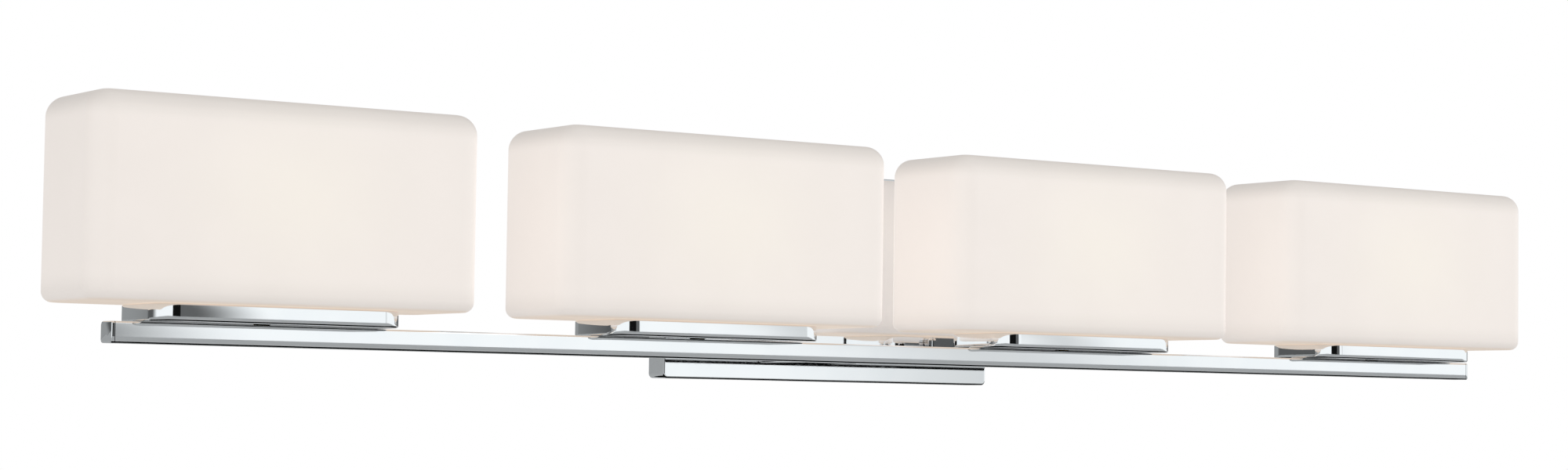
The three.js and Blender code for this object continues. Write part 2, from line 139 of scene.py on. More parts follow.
def moulded(name, color, dull, rough=(0.38, 0.55), scale=260.0, relief=0.12, **fixed):
    """Moulded plastic, rubber or ceramic: slight mottling and a fine skin."""
    n = Nodes(name)
    n.fixed(**fixed)
    patches = n.noise(60.0, 4.0)
    n.link(n.mix(n.spread(patches, 0.0, 1.0), color, dull), n.shader.inputs["Base Color"])
    skin = n.noise(scale * 10, 4.0)
    n.link(n.spread(skin, rough[0], rough[1]), n.shader.inputs["Roughness"])
    n.bump(skin, relief, 0.00006)
    return n.material


def opal_glass():
    """Satin-etched opal glass in the light's own coordinates; its light from the lamp inside is painted as an
    emission glow, with painted shade at the top and bottom edges and a painted reflection tint on the
    underside.
    """
    n = Nodes("opal_glass")
    split = n.add("ShaderNodeSeparateXYZ")
    n.link(n.place, split.inputs["Vector"])
    x, y, z = split.outputs
    # painted pool of light: the glow is brighter round the lamp's place
    across = n.math("POWER", n.math("DIVIDE", x, GLOW_RADIUS[0]), 2.0)
    deep = n.math("POWER", n.math("DIVIDE", y, GLOW_RADIUS[1]), 2.0)
    rise = n.math("SUBTRACT", z, LAMP_CENTRE)
    upward = n.math("POWER", n.math("DIVIDE", rise, GLOW_RADIUS[2]), 2.0)
    distance = n.math("ADD", n.math("ADD", across, deep), upward)
    glow = n.math("EXPONENT", n.math("MULTIPLY", distance, -1.0), 0.0)

    # painted shade: the glow dims towards the top edge and towards the bottom edge
    painted_top_shade = n.spread(z, 1.0, TOP_EDGE_PAINTED_SHADE, GLASS_TOP - 13 * MM, GLASS_TOP - 1 * MM)
    painted_low_shade = n.spread(z, LOW_EDGE_PAINTED_SHADE, 1.0, GLASS_BOTTOM, GLASS_BOTTOM + 14 * MM)
    haze = n.spread(n.noise(24.0, 3.0), 0.99, 1.01)
    strength = n.math("MULTIPLY", n.math("MULTIPLY", painted_top_shade, painted_low_shade), haze)
    # painted glow: the lamp's light through the glass is painted as the glass's own emission
    strength = n.math("MULTIPLY", strength, n.math("ADD", n.math("MULTIPLY", glow, GLOW_GAIN), GLASS_LIGHT))
    n.link(strength, n.shader.inputs["Emission Strength"])

    # painted reflection and shade: the underside glows in a tan colour and its body is darker, which the
    # chrome bar reflects
    underside = n.spread(z, 1.0, 0.0, GLASS_BOTTOM - 1 * MM, GLASS_BOTTOM + 1.5 * MM)
    warm = n.mix(glow, GLASS_GLOW_TINT, GLOW_TINT)
    n.link(n.mix(underside, warm, UNDERSIDE_PAINTED_GLOW), n.shader.inputs["Emission Color"])
    body = n.mix(underside, GLASS_BODY, UNDERSIDE_PAINTED_SHADE)
    n.link(body, n.shader.inputs["Base Color"])
    etch = n.noise(5200.0, 2.0)
    n.link(n.spread(etch, 0.34, 0.46), n.shader.inputs["Roughness"])
    n.fixed(IOR=1.5, Specular_IOR_Level=0.35, Coat_Weight=0.0)
    sag = n.noise(9.0, 1.0)
    relief = n.math("ADD", n.math("MULTIPLY", etch, 0.02), sag)
    n.bump(relief, 0.10, 0.0006)
    return n.material


def lamp_glass():
    """The frosted capsule of a lit two-pin lamp."""
    n = Nodes("lamp_glass")
    frost = n.noise(1800.0, 3.0)
    n.fixed(Base_Color=(0.95, 0.92, 0.84, 1), IOR=1.5)
    light = n.mix(n.spread(frost, 0.0, 1.0), (1.0, 0.86, 0.62), (1.0, 0.92, 0.75))
    n.link(light, n.shader.inputs["Emission Color"])
    n.link(n.spread(frost, 1.1, 1.5), n.shader.inputs["Emission Strength"])
    n.link(n.spread(frost, 0.3, 0.5), n.shader.inputs["Roughness"])
    n.bump(frost, 0.1, 0.00005)
    return n.material


# ------------------------------------------------------------------ places, from the frame

holder_low, holder_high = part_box("shade_holder_1")
shade_low, shade_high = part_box("glass_shade_1")
bar_low, bar_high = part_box("light_bar")
canopy_low, canopy_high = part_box("canopy")
lamp_low, lamp_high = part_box("lamp_1")
socket_low, socket_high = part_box("lamp_socket_1")

SEAT = 0.3 * MM
BAR_TOP = bar_high.z
GLASS_BOTTOM = holder_high.z + SEAT - BAR_TOP
GLASS_TOP = shade_high.z - BAR_TOP
NECK_BOTTOM = shade_low.z - BAR_TOP
LAMP_CENTRE = (lamp_low.z + lamp_high.z) / 2 - BAR_TOP + 8 * MM
GLASS_WALL = 3.2 * MM


def light_at(number):
    """The point on the bar's top under lamp number, the origin of that light's pieces."""
    low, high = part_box(f"shade_holder_{number}")
    return Vector(((low.x + high.x) / 2, (low.y + high.y) / 2, BAR_TOP))


# The lit glass: painted glow strengths and tints, the reach of the painted pool of light round the lamp,
# painted shade at the top and bottom edges and a painted tan underside.
GLASS_LIGHT = 0.61
GLOW_GAIN = 0.05
GLOW_RADIUS = (0.050, 0.080, 0.036)
# the colour of the painted glow
GLASS_GLOW_TINT = (1.0, 0.925, 0.88)
GLOW_TINT = (1.0, 0.935, 0.85)
GLASS_BODY = (0.46, 0.425, 0.39)
# painted tan glow and painted darker body of the glass underside
UNDERSIDE_PAINTED_GLOW = (1.0, 0.80, 0.62)
UNDERSIDE_PAINTED_SHADE = (0.40, 0.33, 0.27)
# painted shade: how dim the glow gets at the top edge and at the bottom edge
TOP_EDGE_PAINTED_SHADE = 0.66
LOW_EDGE_PAINTED_SHADE = 0.86

FINISHES = {
    "opal_glass": opal_glass(),
    "lamp_glass": lamp_glass(),
    "chrome": metal("chrome", (0.955, 0.96, 0.965), (0.93, 0.94, 0.95), (0.02, 0.045), relief=0.01),
    "steel": metal("zinc_steel", (0.62, 0.63, 0.64), (0.5, 0.51, 0.52), (0.28, 0.44), (1, 14, 14),
                   260.0, 0.25),
    "brass": metal("brass", (0.78, 0.58, 0.27), (0.66, 0.47, 0.2), (0.2, 0.34), relief=0.12),
    "ceramic": moulded("ceramic", (0.86, 0.84, 0.79), (0.8, 0.78, 0.73), (0.45, 0.62)),
    "gasket_silicone": moulded("silicone", (0.78, 0.78, 0.76), (0.7, 0.7, 0.68), (0.55, 0.75)),
    "insulation_black": moulded("insulation_black", (0.02, 0.02, 0.022), (0.035, 0.035, 0.036)),
    "insulation_white": moulded("insulation_white", (0.8, 0.79, 0.75), (0.72, 0.71, 0.67)),
    "insulation_green": moulded("insulation_green", (0.03, 0.28, 0.07), (0.025, 0.22, 0.06)),
    "connector_plastic": moulded("connector_plastic", (0.78, 0.26, 0.04), (0.68, 0.21, 0.03), (0.25, 0.4)),
    "green_screw": metal("green_screw", (0.07, 0.36, 0.13), (0.05, 0.28, 0.1), (0.25, 0.4), relief=0.1),
}


# ------------------------------------------------------------------ mesh helpers

def finished(name, mesh, slot, body, at=(0, 0, 0), sharp=38.0, replaces=()):
    """A mesh as a piece: shading, material, slot, body and the CAD nodes it stands for."""
    mesh.polygons.foreach_set("use_smooth", [True] * len(mesh.polygons))
    mesh.set_sharp_from_angle(angle=math.radians(sharp))
    mesh.materials.clear()
    mesh.materials.append(FINISHES[slot])
    piece = bpy.data.objects.new(name, mesh)
    bpy.context.scene.collection.objects.link(piece)
    piece.location = at
    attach(piece, body)
    if replaces:
        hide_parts(*replaces)
    return piece


def mesh_from(name, vertices, faces):
    """A closed mesh with merged points and outward faces."""
    build = bmesh.new()
    points = [build.verts.new(v) for v in vertices]
    for face in faces:
        build.faces.new([points[i] for i in face])
    bmesh.ops.remove_doubles(build, verts=build.verts, dist=1e-7)
    bmesh.ops.recalc_face_normals(build, faces=build.faces)
    mesh = bpy.data.meshes.new(name)
    build.to_mesh(mesh)
    build.free()
    return mesh


def loft(name, rings, joined=False):
    """Skins a list of equal rings of points. Its ends are capped, or joined to each other."""
    count = len(rings[0])
    faces = []
    for i in range(len(rings) - (0 if joined else 1)):
        here, there = i * count, (i + 1) % len(rings) * count
        for j in range(count):
            k = (j + 1) % count
            faces.append((here + j, here + k, there + k, there + j))
    if not joined:
        last = (len(rings) - 1) * count
        faces.append(tuple(reversed(range(count))))
        faces.append(tuple(range(last, last + count)))
    return mesh_from(name, [p for ring in rings for p in ring], faces)


def rounded_ring(half_width, half_depth, radius, height, corner_steps=9):
    """Points of a rounded rectangle in X and Y, at one height."""
    radius = max(min(radius, half_width * 0.999, half_depth * 0.999), 1e-5)
    points = []
    for quarter in range(4):
        sx = (1, -1, -1, 1)[quarter]
        sy = (1, 1, -1, -1)[quarter]
        for step in range(corner_steps + 1):
            angle = (quarter + step / corner_steps) * math.pi / 2
            x = sx * (half_width - radius) + radius * math.cos(angle)
            y = sy * (half_depth - radius) + radius * math.sin(angle)
            points.append((x, y, height))
    return points


def round_ring(radius, height, count=48, lobes=0, depth=0.0):
    """Points of a circle, or of a fluted circle with that many lobes."""
    points = []
    for i in range(count):
        angle = 2 * math.pi * i / count
        here = radius - depth * (0.5 - 0.5 * math.cos(lobes * angle))
        points.append((here * math.cos(angle), here * math.sin(angle), height))
    return points


def turned(name, outline, count=48):
    """A lathe shape on Z from an outline of (radius, height) that starts and ends on the axis."""
    return loft(name, [round_ring(max(r, 0.0), z, count) for r, z in outline[1:-1]] if outline[0][0] == 0
                else [round_ring(r, z, count) for r, z in outline])


def turned_ring(name, outline, count=48):
    """A lathe shape with a hole: the outline closes on itself."""
    return loft(name, [round_ring(r, z, count) for r, z in outline], joined=True)


def arc(centre_inset, centre_height, radius, start, end, steps=7):
    """Pairs of (inset, height) along an arc; inset grows inwards from the outer face."""
    pairs = []
    for i in range(steps + 1):
        angle = math.radians(start + (end - start) * i / steps)
        pairs.append((centre_inset - radius * math.cos(angle), centre_height + radius * math.sin(angle)))
    return pairs


def applied(piece_mesh, name, *modifiers):
    """A mesh with modifiers applied. Each is (type, {settings})."""
    holder = bpy.data.objects.new(name, piece_mesh)
    bpy.context.scene.collection.objects.link(holder)
    for kind, settings in modifiers:
        modifier = holder.modifiers.new(kind.lower(), kind)
        for key, value in settings.items():
            setattr(modifier, key, value)
    graph = bpy.context.evaluated_depsgraph_get()
    result = bpy.data.meshes.new_from_object(holder.evaluated_get(graph))
    bpy.data.objects.remove(holder)
    return result


def carved(mesh, name, *cutters):
    """The mesh with each cutter mesh taken away."""
    helpers = []
    for i, cutter in enumerate(cutters):
        helper = bpy.data.objects.new(f"{name}_cutter_{i}", cutter)
        bpy.context.scene.collection.objects.link(helper)
        helpers.append(helper)
    steps = [("BOOLEAN", {"operation": "DIFFERENCE", "solver": "EXACT", "object": h}) for h in helpers]
    result = applied(mesh, name, *steps)
    for helper in helpers:
        bpy.data.objects.remove(helper)
    return result


def cuboid(name, low, high):
    corners = [(x, y, z) for x in (low[0], high[0]) for y in (low[1], high[1]) for z in (low[2], high[2])]
    faces = [(0, 1, 3, 2), (4, 6, 7, 5), (0, 4, 5, 1), (2, 3, 7, 6), (0, 2, 6, 4), (1, 5, 7, 3)]
    return mesh_from(name, corners, faces)


def softened(node, slot, width, segments=3, angle=40.0):
    """A CAD node's own shape with its sharp edges broken by a small bevel."""
    source = frame["nodes"][node]
    build = bmesh.new()
    build.from_mesh(source.data)
    bmesh.ops.remove_doubles(build, verts=build.verts, dist=1e-6)
    bmesh.ops.dissolve_limit(
        build, angle_limit=math.radians(0.5), verts=build.verts, edges=build.edges, delimit=set()
    )
    mesh = bpy.data.meshes.new(node + "_soft")
    build.to_mesh(mesh)
    build.free()
    bevel = {
        "width": width,
        "segments": segments,
        "limit_method": "ANGLE",
        "angle_limit": math.radians(angle),
        "use_clamp_overlap": True,
    }
    result = applied(mesh, node + "_bevel", ("BEVEL", bevel))
    body = next(b for b, members in frame["record"]["behaviour"]["bodies"].items() if node in members)
    return finished(node + "_piece", result, slot, body, replaces=(node,), sharp=32.0)


def tube(name, points, radius, steps_per_span=10, sides=14):
    """A round tube along a smooth curve through points."""
    path = []
    for i in range(len(points) - 1):
        p = [Vector(points[max(0, min(len(points) - 1, i + k))]) for k in (-1, 0, 1, 2)]
        for step in range(steps_per_span):
            t = step / steps_per_span
            path.append(0.5 * (2 * p[1] + (p[2] - p[0]) * t
                               + (2 * p[0] - 5 * p[1] + 4 * p[2] - p[3]) * t * t
                               + (3 * p[1] - p[0] - 3 * p[2] + p[3]) * t ** 3))
    path.append(Vector(points[-1]))
    rings = []
    side = None
    for i, here in enumerate(path):
        along = (path[min(i + 1, len(path) - 1)] - path[max(i - 1, 0)]).normalized()
        if side is None:
            side = along.orthogonal().normalized()
        side = (side - along * side.dot(along)).normalized()
        up = along.cross(side)
        ring = []
        for k in range(sides):
            angle = 2 * math.pi * k / sides
            ring.append(here + radius * (math.cos(angle) * side + math.sin(angle) * up))
        rings.append(ring)
    return loft(name, rings)


def merged(name, *meshes):
    """Several closed meshes in one."""
    build = bmesh.new()
    for mesh in meshes:
        build.from_mesh(mesh)
    result = bpy.data.meshes.new(name)
    build.to_mesh(result)
    build.free()
    return result


# ------------------------------------------------------------------ glass shades

def shade_rings():
    """The shade's skin from the middle of its top, down the outside, round the neck's lip and
    up the inside to the middle of the ceiling."""
    half_width = (shade_high.x - shade_low.x) / 2
    half_depth = (shade_high.y - shade_low.y) / 2
    corner = 12 * MM
    top_radius = 10 * MM
    low_radius = 5 * MM
    neck_inset = (half_width - (holder_high.x - holder_low.x) / 2 + 3.7 * MM)
    neck_inset_depth = (half_depth - (holder_high.y - holder_low.y) / 2 + 3.7 * MM)
    lip = GLASS_WALL / 2
    outline = [(30 * MM, GLASS_TOP), (18 * MM, GLASS_TOP)]
    outline += reversed(arc(top_radius, GLASS_TOP - top_radius, top_radius, 0, 90, 12))
    outline += reversed(arc(low_radius, GLASS_BOTTOM + low_radius, low_radius, -90, 0, 8))
    rings = [rounded_ring(half_width - inset, half_depth - inset, corner - inset, z) for inset, z in outline]

    def neck_ring(inset, z):
        return rounded_ring(
            half_width - neck_inset - inset, half_depth - neck_inset_depth - inset, 8.8 * MM - inset, z
        )

    rings.append(neck_ring(-2 * MM, GLASS_BOTTOM))
    for inset, z in arc(-1.2 * MM, GLASS_BOTTOM - 1.2 * MM, -1.2 * MM, -90, 0, 4):
        rings.append(neck_ring(inset, z))
    for i in range(7):
        angle = math.pi * i / 6
        rings.append(neck_ring(lip - lip * math.cos(angle), NECK_BOTTOM + lip - lip * math.sin(angle)))
    rings.append(neck_ring(GLASS_WALL, GLASS_BOTTOM + GLASS_WALL - 1 * MM))
    rings.append(neck_ring(GLASS_WALL - 1 * MM, GLASS_BOTTOM + GLASS_WALL))
    inner = [(i + GLASS_WALL, z) for i, z in arc(
        low_radius - GLASS_WALL, GLASS_BOTTOM + low_radius, low_radius - GLASS_WALL, -90, 0, 4)]
    inner += [(i + GLASS_WALL, z) for i, z in arc(
        top_radius - GLASS_WALL, GLASS_TOP - top_radius, top_radius - GLASS_WALL, 0, 90, 6)]
    inner += [(18 * MM, GLASS_TOP - GLASS_WALL), (30 * MM, GLASS_TOP - GLASS_WALL)]
    rings += [rounded_ring(half_width - inset, half_depth - inset, corner - inset, z) for inset, z in inner]
    return rings


def make_shades():
    rings = shade_rings()
    for number in LIGHTS:
        mesh = loft(f"opal_shade_{number}", rings)
        finished(f"opal_shade_{number}", mesh, "opal_glass", f"shade_{number}", light_at(number),
                 sharp=50.0, replaces=(f"glass_shade_{number}",))


# ------------------------------------------------------------------ holders and their hardware

def holder_rings():
    """The cup's skin: floor underside, outer wall, rolled rim, inner wall and floor."""
    half_width = (holder_high.x - holder_low.x) / 2
    half_depth = (holder_high.y - holder_low.y) / 2
    corner = 12.5 * MM
    bottom = holder_low.z - BAR_TOP
    top = holder_high.z - BAR_TOP
    wall = 1.2 * MM
    floor = 1.5 * MM
    outer = 0.9 * MM
    inner = 0.6 * MM
    outline = [(14 * MM, bottom)] + arc(outer, bottom + outer, outer, -90, 0, 6)
    outline += arc(wall / 2, top - wall / 2, wall / 2, 0, 180, 8)
    outline += [(wall, bottom + floor + inner), (wall + 0.3 * inner, bottom + floor + 0.3 * inner)]
    outline += [(wall + inner, bottom + floor), (14 * MM, bottom + floor)]
    return [rounded_ring(half_width - i, half_depth - i, corner - i, z, 14) for i, z in outline]


def threaded_ring(name, outer, bore, low, high, pitch):
    """A threaded tube: ridges one pitch apart outside, plain inside."""
    outline = []
    steps = int((high - low) / pitch * 2)
    for i in range(steps + 1):
        radius = outer if i % 2 else outer - 0.35 * pitch
        outline.append((radius, low + (high - low) * i / steps))
    outline += [(bore, high), (bore, low)]
    return turned_ring(name, outline, 32)


def hex_nut(name, across_flats, thickness, bore):
    """A hexagon nut with chamfered corners, on Z from 0 to its thickness."""
    corner = across_flats / math.sqrt(3)
    blank = [round_ring(corner, z, 6) for z in (0, thickness)]
    cone = turned(name + "_cone", [
        (0, 0), (across_flats / 2 * 0.97, 0), (corner, 0.12 * thickness), (corner, 0.88 * thickness),
        (across_flats / 2 * 0.97, thickness), (0, thickness)], 36)
    hole = loft(name + "_hole", [round_ring(bore, z, 32) for z in (-thickness, 2 * thickness)])
    tool = bpy.data.objects.new(name + "_tool", cone)
    bpy.context.scene.collection.objects.link(tool)
    cut = {"operation": "INTERSECT", "solver": "EXACT", "object": tool}
    body = applied(loft(name, blank), name, ("BOOLEAN", cut))
    bpy.data.objects.remove(tool)
    return carved(body, name, hole)


def thumb_screw_mesh(name, length, head):
    """A knurled thumb screw along +Y: its head runs from 0 to head, its shank back to -length."""
    half = 3.2 * MM
    flutes = 24
    rings = [round_ring(half - 0.5 * MM, 0, 96)]
    rings.append(round_ring(half, 0.45 * MM, 96, flutes, 0.28 * MM))
    rings.append(round_ring(half, head - 0.45 * MM, 96, flutes, 0.28 * MM))
    rings.append(round_ring(half - 0.5 * MM, head, 96))
    slot = cuboid(name + "_slot", (-0.5 * MM, -4 * MM, head - 1 * MM), (0.5 * MM, 4 * MM, head + 1 * MM))
    knob = carved(loft(name, rings), name, slot)
    shank = threaded_ring(name + "_shank", 1.5 * MM, 0.02 * MM, -length, 0.1 * MM, 0.5 * MM)
    both = merged(name, knob, shank)
    both.transform(Matrix.Rotation(math.radians(-90), 4, "X"))
    return both


def make_holders():
    rings = holder_rings()
    neck_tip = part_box("thumb_screw_1_left")[0].y
    head_face = holder_high.y + SEAT
    head_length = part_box("thumb_screw_1_left")[1].y - head_face
    nut_low, nut_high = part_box("lock_nut_1")
    nipple_low, nipple_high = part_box("nipple_1")
    washer_low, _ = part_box("lock_washer_1")
    gasket_low, gasket_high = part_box("shade_gasket_1")
    for number in LIGHTS:
        at = light_at(number)
        finished(f"holder_cup_{number}", loft(f"holder_cup_{number}", rings), "chrome", ROOT, at,
                 sharp=50.0, replaces=(f"shade_holder_{number}",))
        nut = hex_nut(f"socket_nut_{number}", 13 * MM, nut_high.z - nut_low.z, 4.05 * MM)
        finished(f"socket_nut_{number}", nut, "brass", ROOT, (at.x, at.y, nut_low.z), 25.0,
                 (f"lock_nut_{number}",))
        stem = threaded_ring(f"threaded_stem_{number}", 4 * MM, 2.8 * MM,
                             nipple_low.z - BAR_TOP, nipple_high.z - BAR_TOP, 1 * MM)
        finished(f"threaded_stem_{number}", stem, "brass", ROOT, at, 30.0, (f"nipple_{number}",))
        teeth = [round_ring(r, z, 96, lobes, 0.7 * MM if lobes else 0) for r, z, lobes in (
            (4.3 * MM, 0, 0), (7.5 * MM, 0, 16), (7.5 * MM, 0.8 * MM, 16), (4.3 * MM, 0.8 * MM, 0))]
        washer = loft(f"toothed_washer_{number}", teeth, joined=True)
        finished(f"toothed_washer_{number}", washer, "steel", ROOT, (at.x, at.y, washer_low.z), 30.0,
                 (f"lock_washer_{number}",))
        half_width = (gasket_high.x - gasket_low.x) / 2
        half_depth = (gasket_high.y - gasket_low.y) / 2
        soft = 0.35 * MM
        top = gasket_high.z - gasket_low.z
        section = [(soft, 0), (0, soft), (0, top - soft), (soft, top)]
        section += [(4.7 * MM - soft, top), (4.7 * MM, top - soft), (4.7 * MM, soft), (4.7 * MM - soft, 0)]
        ring = [rounded_ring(half_width - i, half_depth - i, 8.8 * MM - i, z, 8) for i, z in section]
        finished(f"silicone_seat_{number}", loft(f"silicone_seat_{number}", ring, joined=True),
                 "gasket_silicone", ROOT, (at.x, at.y, gasket_low.z), 50.0, (f"shade_gasket_{number}",))
        for side in ("left", "right"):
            name = f"thumb_screw_{number}_{side}"
            low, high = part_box(name)
            centre = ((low.x + high.x) / 2, head_face, (low.z + high.z) / 2)
            screw = thumb_screw_mesh(f"knurled_screw_{number}_{side}", head_face - neck_tip, head_length)
            finished(f"knurled_screw_{number}_{side}", screw, "chrome", name, centre, 30.0, (name,))


# ------------------------------------------------------------------ sockets and lamps

def socket_mesh(name):
    """A ceramic two-pin lamp socket: a round collar, a grooved block and two pin slots."""
    height = socket_high.z - socket_low.z
    collar = 6 * MM
    half_width = (socket_high.x - socket_low.x) / 2
    half_depth = (socket_high.y - socket_low.y) / 2
    rings = []
    for inset, z in [(6 * MM, collar), (0.8 * MM, collar), (0, collar + 0.8 * MM), (0, collar + 6 * MM),
                     (0.7 * MM, collar + 6.5 * MM), (0.7 * MM, collar + 8 * MM), (0, collar + 8.5 * MM),
                     (0, height - 1.6 * MM), (0.5 * MM, height - 0.5 * MM), (1.6 * MM, height),
                     (5 * MM, height)]:
        rings.append(rounded_ring(half_width - inset, half_depth - inset, 3 * MM, z, 6))
    slots = []
    for side in (-1, 1):
        x = side * 4.5 * MM
        slots.append(cuboid(f"{name}_slot", (x - 1.6 * MM, -0.9 * MM, height - 9.4 * MM),
                            (x + 1.6 * MM, 0.9 * MM, height + 1 * MM)))
    block = carved(loft(name, rings), name, *slots)
    foot = turned_ring(name + "_foot", [
        (4.3 * MM, 0), (6.6 * MM, 0), (7 * MM, 0.4 * MM), (7 * MM, collar - 0.01 * MM),
        (4.3 * MM, collar - 0.01 * MM)])
    return merged(name, block, foot)


def make_lamps():
    pin_reach = 9 * MM
    base_low = lamp_low.z + pin_reach
    height = lamp_high.z - base_low
    base_height = 13 * MM
    dome = 7.5 * MM
    for number in LIGHTS:
        at = light_at(number)
        body = f"lamp_{number}"
        socket = socket_mesh(f"ceramic_socket_{number}")
        finished(f"ceramic_socket_{number}", socket, "ceramic", ROOT, (at.x, at.y, socket_low.z), 35.0,
                 (f"lamp_socket_{number}",))
        glass = [(0, base_height - 2 * MM), (5.6 * MM, base_height - 2 * MM), (5.9 * MM, base_height)]
        glass += [(6.8 * MM, base_height + 1.2 * MM), (dome, base_height + 2.6 * MM)]
        for i in range(11):
            angle = math.pi / 2 * i / 10
            radius = dome * math.cos(angle)
            glass.append((max(radius, 0.05 * MM), height - dome + dome * math.sin(angle)))
        glass.append((0, height))
        capsule = turned(f"lamp_capsule_{number}", glass)
        finished(f"lamp_capsule_{number}", capsule, "lamp_glass", body, (at.x, at.y, base_low), 50.0, (body,))
        collar = [(6 * MM, 3.2 * MM, 0), (6.5 * MM, 3.7 * MM, 0.5 * MM), (6.5 * MM, 3.7 * MM, 4 * MM)]
        collar += [(6.1 * MM, 3.4 * MM, 4.4 * MM), (6.1 * MM, 3.6 * MM, 5.2 * MM),
                   (6.5 * MM, 4.6 * MM, 5.8 * MM)]
        collar += [(6.5 * MM, 6.4 * MM, base_height - 1 * MM), (6 * MM, 5.9 * MM, base_height - 0.4 * MM)]
        rings = [rounded_ring(w, d, 2.8 * MM, z, 6) for w, d, z in collar]
        finished(f"lamp_base_{number}", loft(f"lamp_base_{number}", rings), "ceramic", body,
                 (at.x, at.y, base_low), 40.0)
        pins = []
        for side in (-1, 1):
            x = side * 4.5 * MM
            loop = [(x - 0.75 * MM, 0, 1 * MM), (x - 0.75 * MM, 0, -5 * MM), (x - 0.7 * MM, 0, -7.6 * MM),
                    (x, 0, -8.45 * MM), (x + 0.7 * MM, 0, -7.6 * MM), (x + 0.75 * MM, 0, -5 * MM),
                    (x + 0.75 * MM, 0, 1 * MM)]
            pins.append(tube(f"pin_{number}", loop, 0.42 * MM, 5, 10))
        finished(f"lamp_pins_{number}", merged(f"lamp_pins_{number}", *pins), "steel", body,
                 (at.x, at.y, base_low), 50.0)


# ------------------------------------------------------------------ bar and end caps

def bar_ring(x, inset, front_edge=1.0 * MM, rear_edge=2.0 * MM):
    """The bar's section at one x: crisp small edges in front, soft ones behind."""
    half_depth = (bar_high.y - bar_low.y) / 2 - inset
    half_height = (bar_high.z - bar_low.z) / 2 - inset
    middle_y = (bar_high.y + bar_low.y) / 2
    middle_z = (bar_high.z + bar_low.z) / 2
    points = []
    for quarter, edge in enumerate((rear_edge, front_edge, front_edge, rear_edge)):
        edge = max(edge - inset, 0.2 * MM)
        sy = (1, -1, -1, 1)[quarter]
        sz = (1, 1, -1, -1)[quarter]
        for step in range(7):
            angle = (quarter + step / 6) * math.pi / 2
            y = middle_y + sy * (half_depth - edge) + edge * math.cos(angle)
            z = middle_z + sz * (half_height - edge) + edge * math.sin(angle)
            points.append((x, y, z))
    return points


def make_bar():
    wall = 1.5 * MM
    ends = ((bar_low.x, 0), (bar_high.x, 0), (bar_high.x, wall), (bar_low.x, wall))
    section = [bar_ring(x, inset) for x, inset in ends]
    finished("chrome_bar", loft("chrome_bar", section, joined=True), "chrome", ROOT, sharp=50.0,
             replaces=("light_bar",))
    for side, node in ((-1, "bar_end_cap_left"), (1, "bar_end_cap_right")):
        low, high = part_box(node)
        outer, inner = (low.x, high.x) if side < 0 else (high.x, low.x)
        shoulder = outer - side * 1.5 * MM
        steps = [(outer, 0.5 * MM), (outer - side * 0.15 * MM, 0.15 * MM), (outer - side * 0.5 * MM, 0),
                 (shoulder, 0), (shoulder, 1.8 * MM), (inner, 1.8 * MM)]
        rings = [bar_ring(x, inset) for x, inset in steps]
        finished(node + "_piece", loft(node, rings), "chrome", ROOT, sharp=50.0, replaces=(node,))


# ------------------------------------------------------------------ canopy, arm and bracket

def canopy_ring(inset, y, corner_steps=5):
    """A rounded rectangle in X and Z at depth y."""
    half_width = (canopy_high.x - canopy_low.x) / 2 - inset
    half_height = (canopy_high.z - canopy_low.z) / 2 - inset
    flat = rounded_ring(half_width, half_height, 2.5 * MM - inset, 0, corner_steps)
    return [(x, y, z) for x, z, _ in flat]


def make_canopy():
    front = canopy_low.y
    wall = 1.2 * MM
    edge = 0.9 * MM
    outline = [(12 * MM, front), (edge + 0.15 * MM, front)]
    for i in range(6):
        angle = math.pi / 2 * i / 5
        outline.append((edge - edge * math.sin(angle), front + edge - edge * math.cos(angle)))
    outline += [(0, -0.4 * MM), (0.4 * MM, 0), (0.8 * MM, 0), (wall, -0.4 * MM)]
    outline += [(wall, front + wall + 0.5 * MM)]
    outline += [(wall + 0.5 * MM, front + wall), (12 * MM, front + wall)]
    pan = loft("canopy_pan", [canopy_ring(inset, y) for inset, y in outline])
    arm_low, arm_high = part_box("support_arm")
    slot = cuboid("arm_slot", (-17.3 * MM, front - 4 * MM, arm_low.z + 3.7 * MM),
                  (17.3 * MM, front + 4 * MM, arm_high.z - 3.7 * MM))
    pan = carved(pan, "canopy_pan", slot)
    studs = []
    for side in ("left", "right"):
        low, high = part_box(f"arm_nut_{side}")
        stud = threaded_ring("weld_stud", 2 * MM, 0.02 * MM, 0, 8 * MM, 0.7 * MM)
        turn = Matrix.Rotation(math.radians(-90), 4, "X")
        place = Vector(((low.x + high.x) / 2, front + wall - 0.2 * MM, (low.z + high.z) / 2))
        stud.transform(Matrix.Translation(place) @ turn)
        studs.append(stud)
    finished("canopy_pan", merged("canopy_pan", pan, *studs), "chrome", ROOT, sharp=35.0,
             replaces=("canopy",))
    for side in ("left", "right"):
        node = f"arm_nut_{side}"
        low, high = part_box(node)
        nut = hex_nut(f"flange_nut_{side}", 7 * MM, high.y - low.y, 2.05 * MM)
        nut.transform(Matrix.Rotation(math.radians(-90), 4, "X"))
        finished(f"flange_nut_{side}", nut, "steel", ROOT,
                 ((low.x + high.x) / 2, low.y, (low.z + high.z) / 2), 25.0, (node,))
    softened("support_arm", "chrome", 0.5 * MM)
    softened("wall_bracket", "steel", 0.3 * MM)


def machine_screw_mesh(name, length):
    """A pan-head screw with a cross recess. The head is above Z = 0 and the shank below."""
    head = 3.75 * MM
    tall = 2.6 * MM
    outline = [(0, 0), (head, 0), (head, 0.5 * MM)]
    for i in range(1, 8):
        angle = math.pi / 2 * i / 8
        outline.append((head * math.cos(angle) ** 0.7, 0.5 * MM + (tall - 0.5 * MM) * math.sin(angle)))
    outline.append((0, tall))
    recess = [cuboid(name + "_recess", (-a, -b, tall - 1.5 * MM), (a, b, tall + 1 * MM))
              for a, b in ((1.9 * MM, 0.45 * MM), (0.45 * MM, 1.9 * MM))]
    knob = carved(turned(name, outline), name, *recess)
    shank = threaded_ring(name + "_shank", 2 * MM, 0.02 * MM, -length, 0.1 * MM, 0.7 * MM)
    return merged(name, knob, shank)


